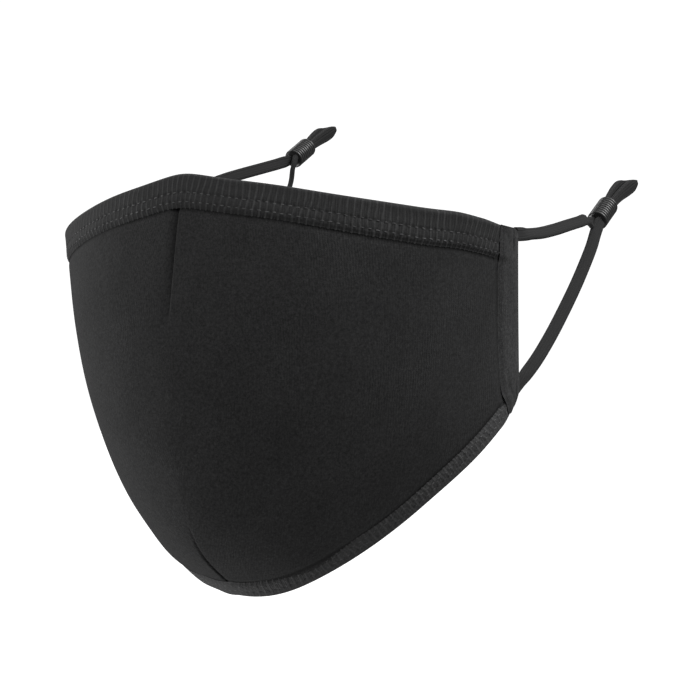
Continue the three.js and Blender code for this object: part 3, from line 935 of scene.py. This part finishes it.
class Finish:
    """A material being put together from nodes."""

    def __init__(self, name, colour, roughness, specular, sheen=0.0):
        self.material = bpy.data.materials.new(name)
        self.material.use_nodes = True
        self.tree = self.material.node_tree
        self.shader = self.tree.nodes["Principled BSDF"]
        inputs = self.shader.inputs
        inputs["Base Color"].default_value = (*colour, 1)
        inputs["Roughness"].default_value = roughness
        inputs["Specular IOR Level"].default_value = specular
        inputs["Sheen Weight"].default_value = sheen
        inputs["Sheen Roughness"].default_value = 0.5
        self.colour = colour

    def add(self, kind, **values):
        node = self.tree.nodes.new(kind)
        for key, value in values.items():
            setattr(node, key, value)
        return node

    def link(self, source, target):
        self.tree.links.new(source, target)

    def math(self, operation, first, second=None):
        node = self.add("ShaderNodeMath", operation=operation)
        for socket, value in zip(node.inputs, (first, second)):
            if value is None:
                continue
            if isinstance(value, (int, float)):
                socket.default_value = value
            else:
                self.link(value, socket)
        return node.outputs[0]

    def cloth_axes(self, across_pitch, along_pitch):
        """The piece's own cloth coordinates, counted in repeats of the pattern."""
        uv = self.add("ShaderNodeUVMap", uv_map="cloth")
        mapping = self.add("ShaderNodeMapping")
        mapping.inputs["Scale"].default_value = (1 / across_pitch, 1 / along_pitch, 1)
        split = self.add("ShaderNodeSeparateXYZ")
        self.link(uv.outputs["UV"], mapping.inputs["Vector"])
        self.link(mapping.outputs["Vector"], split.inputs["Vector"])
        return split.outputs["X"], split.outputs["Y"]

    def noise(self, scale, stretch=(1, 1, 1), detail=3.0):
        """Noise in the object's own space, its features 1/scale metres across."""
        place = self.add("ShaderNodeTexCoord")
        mapping = self.add("ShaderNodeMapping")
        mapping.inputs["Scale"].default_value = stretch
        noise = self.add("ShaderNodeTexNoise")
        noise.inputs["Scale"].default_value = scale
        noise.inputs["Detail"].default_value = detail
        self.link(place.outputs["Object"], mapping.inputs["Vector"])
        self.link(mapping.outputs["Vector"], noise.inputs["Vector"])
        return noise.outputs["Fac"]

    def blend_range(self, value, low, high, to_low, to_high):
        node = self.add("ShaderNodeMapRange")
        node.inputs["From Min"].default_value = low
        node.inputs["From Max"].default_value = high
        node.inputs["To Min"].default_value = to_low
        node.inputs["To Max"].default_value = to_high
        self.link(value, node.inputs["Value"])
        return node.outputs["Result"]

    def vary(self, shade, value, amount, span=NOISE_SPAN):
        """A shade made darker and lighter by an amount, as a value runs over its span."""
        return self.math("MULTIPLY", shade, self.blend_range(value, *span, 1 - amount, 1 + amount))

    def relief(self):
        """The painted shade and highlight that each piece's mesh keeps in its relief attribute, from 0 to 1:
        low in hem valleys, folds, creases, grooves and stitch channels, high on rib crests.
        """
        return self.add("ShaderNodeAttribute", attribute_name="relief").outputs["Fac"]

    def tint(self, amount):
        """The base colour times a factor that varies over the surface."""
        scale = self.add("ShaderNodeVectorMath", operation="SCALE")
        scale.inputs[0].default_value = self.colour
        self.link(amount, scale.inputs["Scale"])
        self.link(scale.outputs[0], self.shader.inputs["Base Color"])

    def bump(self, height, distance, strength=1.0):
        node = self.add("ShaderNodeBump")
        node.inputs["Distance"].default_value = distance
        node.inputs["Strength"].default_value = strength
        self.link(height, node.inputs["Height"])
        self.link(node.outputs["Normal"], self.shader.inputs["Normal"])

    def knit_bump(self, loops, fuzz, share, distance, strength):
        """A bump of knitted loops with a share of fuzz over them."""
        self.bump(self.math("ADD", loops, self.math("MULTIPLY", fuzz, share)), distance, strength)


def made_once(build):
    """Keeps the material that a function makes, so that pieces share it."""
    kept = {}

    def get():
        if "material" not in kept:
            kept["material"] = build()
        return kept["material"]

    return get


def knit_loops(finish, across, along):
    """Columns of loops: two slanting legs to a column, and a groove between columns."""
    centred = finish.math("SUBTRACT", finish.math("FRACT", across), 0.5)
    aside = finish.math("ABSOLUTE", centred)
    wale = finish.math("COSINE", finish.math("MULTIPLY", centred, 2 * math.pi))
    slanted = finish.math("ADD", along, finish.math("MULTIPLY", aside, 1.3))
    legs = finish.math("SINE", finish.math("MULTIPLY", slanted, 2 * math.pi))
    return finish.math("ADD", finish.math("MULTIPLY", wale, 0.6), finish.math("MULTIPLY", legs, 0.25))


def jersey(name, colour, loop_light, seam_light):
    finish = Finish(name, colour, 0.95, 0.06, sheen=0.03)
    pitch = settings().wale_pitch
    across, along = finish.cloth_axes(pitch, pitch * 0.75)
    drift = finish.math("MULTIPLY", finish.noise(420, detail=2), 1.6)
    loops = knit_loops(finish, finish.math("ADD", across, drift), along)
    loops = finish.math("MULTIPLY", loops, finish.blend_range(finish.noise(38), 0.4, 0.6, 0.15, 1))
    fuzz = finish.noise(2600, detail=4)
    finish.knit_bump(loops, fuzz, 1.1, 0.07 * MM, 0.6)
    shade = finish.vary(finish.blend_range(loops, *LOOP_SPAN, *loop_light), fuzz, 0.28)
    shade = finish.vary(shade, finish.noise(1150, detail=2), 0.25)
    shade = finish.vary(shade, finish.noise(60), 0.07, PATCH_SPAN)
    # Painted shade: the colour darkens towards seam_light where the relief attribute falls towards 0
    finish.tint(finish.math("MULTIPLY", shade, finish.blend_range(finish.relief(), 0, 1, seam_light, 1)))
    return finish.material


@made_once
def jersey_material():
    return jersey("black_jersey", settings().jersey_colour, (0.9, 1.1), 0.35)


@made_once
def casing_material():
    return jersey("black_casing_jersey", settings().casing_colour, (0.96, 1.04), 0.4)


def rib_knit(name, colour, light):
    finish = Finish(name, colour, 0.92, 0.1, sheen=0.03)
    across, along = finish.cloth_axes(settings().rib_pitch / 4, 0.55 * MM)
    loops = knit_loops(finish, across, along)
    fuzz = finish.noise(2400, detail=4)
    finish.knit_bump(loops, fuzz, 1.2, 0.05 * MM, 0.6)
    # Painted highlight on the rib crests and painted shade between them, from the relief attribute; random
    # patches make it stronger and weaker
    patches = finish.blend_range(finish.noise(130, detail=2), *PATCH_SPAN, 0.45, 1.2)
    shade = finish.blend_range(finish.math("MULTIPLY", finish.relief(), patches), 0, 1, *light)
    shade = finish.vary(shade, finish.noise(700, detail=2), 0.08)
    shade = finish.vary(shade, fuzz, 0.18)
    finish.tint(finish.vary(shade, loops, 0.06, LOOP_SPAN))
    return finish.material


@made_once
def rib_knit_material():
    return rib_knit("black_rib_knit", settings().rib_colour, (0.86, 1.7))


@made_once
def lower_rib_material():
    return rib_knit("black_lower_rib_knit", settings().lower_rib_colour, (0.96, 1.3))


@made_once
def thread_material():
    finish = Finish("black_thread", settings().thread_colour, 0.6, 0.3)
    twist = finish.noise(5000, stretch=(1, 1, 1.6), detail=2)
    finish.bump(twist, 0.05 * MM, 0.7)
    patches = finish.blend_range(finish.noise(110, detail=2), *PATCH_SPAN, 0.6, 1.3)
    finish.tint(finish.vary(patches, twist, 0.25))
    return finish.material


@made_once
def elastic_material():
    finish = Finish("black_elastic", settings().elastic_colour, 0.9, 0.08, sheen=0.02)
    across, along = finish.cloth_axes(0.55 * MM, 0.6 * MM)
    fuzz = finish.noise(3200, detail=3)
    finish.knit_bump(knit_loops(finish, across, along), fuzz, 0.9, 0.06 * MM, 0.8)
    # Painted shade in the grooves from the relief attribute, slightly lighter on the ribs
    finish.tint(finish.vary(finish.blend_range(finish.relief(), 0, 1, 0.55, 1.08), fuzz, 0.15))
    return finish.material


@made_once
def rubber_material():
    finish = Finish("black_rubber", settings().rubber_colour, 0.32, 0.5)
    scuffs = finish.noise(1200, detail=5)
    finish.bump(scuffs, 0.01 * MM, 0.25)
    finish.link(finish.blend_range(scuffs, *NOISE_SPAN, 0.27, 0.36), finish.shader.inputs["Roughness"])
    finish.tint(finish.blend_range(scuffs, *NOISE_SPAN, 0.85, 1.15))
    return finish.material


@made_once
def floor_material():
    finish = Finish("pale_floor", (0.93, 0.93, 0.93), 0.85, 0.1)
    finish.shader.inputs["Emission Color"].default_value = (1, 1, 1, 1)
    finish.shader.inputs["Emission Strength"].default_value = WORLD_WHITE
    finish.tint(finish.blend_range(finish.noise(4), *NOISE_SPAN, 0.98, 1.02))
    return finish.material


# Stage

CAMERA = {
    "target": (30.63 * MM, 47.9 * MM, -52.88 * MM),
    "azimuth": 30.72,
    "elevation": -2.04,
    "roll": 0.22,
    "distance": 620 * MM,
    "lens": 100.5,
    "sensor": 36,
}
SOFT_LIGHTS = (
    {"name": "left_softbox", "from": (-80, 40), "away": 1.6, "size": 1.2, "power": 17},
    {"name": "top_softbox", "from": (30, 60), "away": 1.6, "size": 1.2, "power": 11},
    {"name": "right_softbox", "from": (95, 40), "away": 1.6, "size": 1.2, "power": 34},
    {"name": "low_bounce", "from": (-60, -45), "away": 1.6, "size": 1.2, "power": 28},
)
WORLD_WHITE = 1.1
WORLD_FILL = 0.22
FLOOR_BELOW = 0.3
FLOOR_REACH = 60


def direction(azimuth, elevation):
    """Towards a place seen from the object: azimuth 0 is in front of it, positive to its right."""
    a, e = math.radians(azimuth), math.radians(elevation)
    return Vector((math.sin(a) * math.cos(e), -math.cos(a) * math.cos(e), math.sin(e)))


def build_camera():
    camera = put("camera", bpy.data.cameras.new("camera"))
    back = direction(CAMERA["azimuth"], CAMERA["elevation"])
    turn = back.to_track_quat("Z", "Y").to_matrix().to_4x4()
    roll = Matrix.Rotation(math.radians(-CAMERA["roll"]), 4, "Z")
    place = Matrix.Translation(Vector(CAMERA["target"]) + back * CAMERA["distance"])
    camera.matrix_world = place @ turn @ roll
    camera.data.lens = CAMERA["lens"]
    camera.data.sensor_width = CAMERA["sensor"]
    camera.data.clip_start = 0.01
    bpy.context.scene.camera = camera


def build_lights():
    low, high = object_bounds()
    centre = (low + high) / 2
    for row in SOFT_LIGHTS:
        data = bpy.data.lights.new(row["name"], "AREA")
        data.shape = "DISK"
        data.size = row["size"]
        data.energy = row["power"]
        light = put(row["name"], data)
        towards = direction(*row["from"])
        light.location = centre + towards * row["away"]
        light.rotation_mode = "QUATERNION"
        light.rotation_quaternion = towards.to_track_quat("Z", "Y")
    world = bpy.data.worlds.new("studio")
    world.use_nodes = True
    background = world.node_tree.nodes["Background"]
    background.inputs["Color"].default_value = (1, 1, 1, 1)
    seen = world.node_tree.nodes.new("ShaderNodeLightPath")
    strength = world.node_tree.nodes.new("ShaderNodeMapRange")
    strength.inputs["To Min"].default_value = WORLD_FILL
    strength.inputs["To Max"].default_value = WORLD_WHITE
    world.node_tree.links.new(seen.outputs["Is Camera Ray"], strength.inputs["Value"])
    world.node_tree.links.new(strength.outputs["Result"], background.inputs["Strength"])
    bpy.context.scene.world = world
    bpy.context.scene.view_settings.view_transform = "Standard"


def build_floor():
    bm = bmesh.new()
    bmesh.ops.create_grid(bm, x_segments=1, y_segments=1, size=FLOOR_REACH)
    bmesh.ops.translate(bm, vec=(0, 0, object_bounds()[0].z - FLOOR_BELOW), verts=bm.verts)
    floor = put("studio_floor", new_mesh("studio_floor", bm))
    floor.data.materials.append(floor_material())
    floor.visible_diffuse = False
    floor.visible_glossy = False
    floor.visible_shadow = False
    floor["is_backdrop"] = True


# Operators


class MASK_OT_stage(bpy.types.Operator):
    """Sets up the camera, the soft lights and the pale floor"""

    bl_idname = "mask.stage"
    bl_label = "Stage"

    def execute(self, context):
        build_camera()
        build_lights()
        build_floor()
        return {"FINISHED"}


class MASK_OT_adjusters(bpy.types.Operator):
    """Makes the ringed rubber tube on each ear loop"""

    bl_idname = "mask.adjusters"
    bl_label = "Adjusters"

    def execute(self, context):
        for side in SIDES:
            build_adjuster(side)
        return {"FINISHED"}


class MASK_OT_ear_loops(bpy.types.Operator):
    """Makes the two flat elastic ear loops"""

    bl_idname = "mask.ear_loops"
    bl_label = "Ear loops"

    def execute(self, context):
        for side in SIDES:
            build_ear_loop(side)
        return {"FINISHED"}


class MASK_OT_cup(bpy.types.Operator):
    """Makes the jersey cup with its nose and chin darts"""

    bl_idname = "mask.cup"
    bl_label = "Cup"

    def execute(self, context):
        build_cup()
        return {"FINISHED"}


class MASK_OT_bindings(bpy.types.Operator):
    """Makes the ribbed bands round the top and bottom edges, with their stitches"""

    bl_idname = "mask.bindings"
    bl_label = "Bindings"

    def execute(self, context):
        build_binding("top", True, TOP_BINDING_WIDTH, "top_binding")
        build_binding("bottom", False, BOTTOM_BINDING_WIDTH, "bottom_binding")
        return {"FINISHED"}


class MASK_OT_casings(bpy.types.Operator):
    """Makes the strips folded over the side edges"""

    bl_idname = "mask.casings"
    bl_label = "Casings"

    def execute(self, context):
        for side in SIDES:
            build_casing(side)
        return {"FINISHED"}


class MASK_PT_sidebar(bpy.types.Panel):
    """Lists the steps that build the mask"""

    bl_label = "Face mask"
    bl_idname = "MASK_PT_sidebar"
    bl_space_type = "VIEW_3D"
    bl_region_type = "UI"
    bl_category = "Face mask"

    def draw(self, context):
        for name in FaceMaskSettings.__annotations__:
            self.layout.prop(context.scene.face_mask, name)
        for step in STEPS:
            self.layout.operator(step.bl_idname)


STEPS = (MASK_OT_stage, MASK_OT_adjusters, MASK_OT_ear_loops, MASK_OT_cup, MASK_OT_bindings, MASK_OT_casings)
CLASSES = (FaceMaskSettings, *STEPS, MASK_PT_sidebar)


def register():
    for cls in CLASSES:
        bpy.utils.register_class(cls)
    bpy.types.Scene.face_mask = PointerProperty(type=FaceMaskSettings)


def unregister():
    del bpy.types.Scene.face_mask
    for cls in reversed(CLASSES):
        bpy.utils.unregister_class(cls)


def main():
    register()
    bpy.ops.mask.stage()
    bpy.ops.mask.adjusters()
    bpy.ops.mask.ear_loops()
    bpy.ops.mask.cup()
    bpy.ops.mask.bindings()
    bpy.ops.mask.casings()
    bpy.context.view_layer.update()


if __name__ == "__main__":
    main()
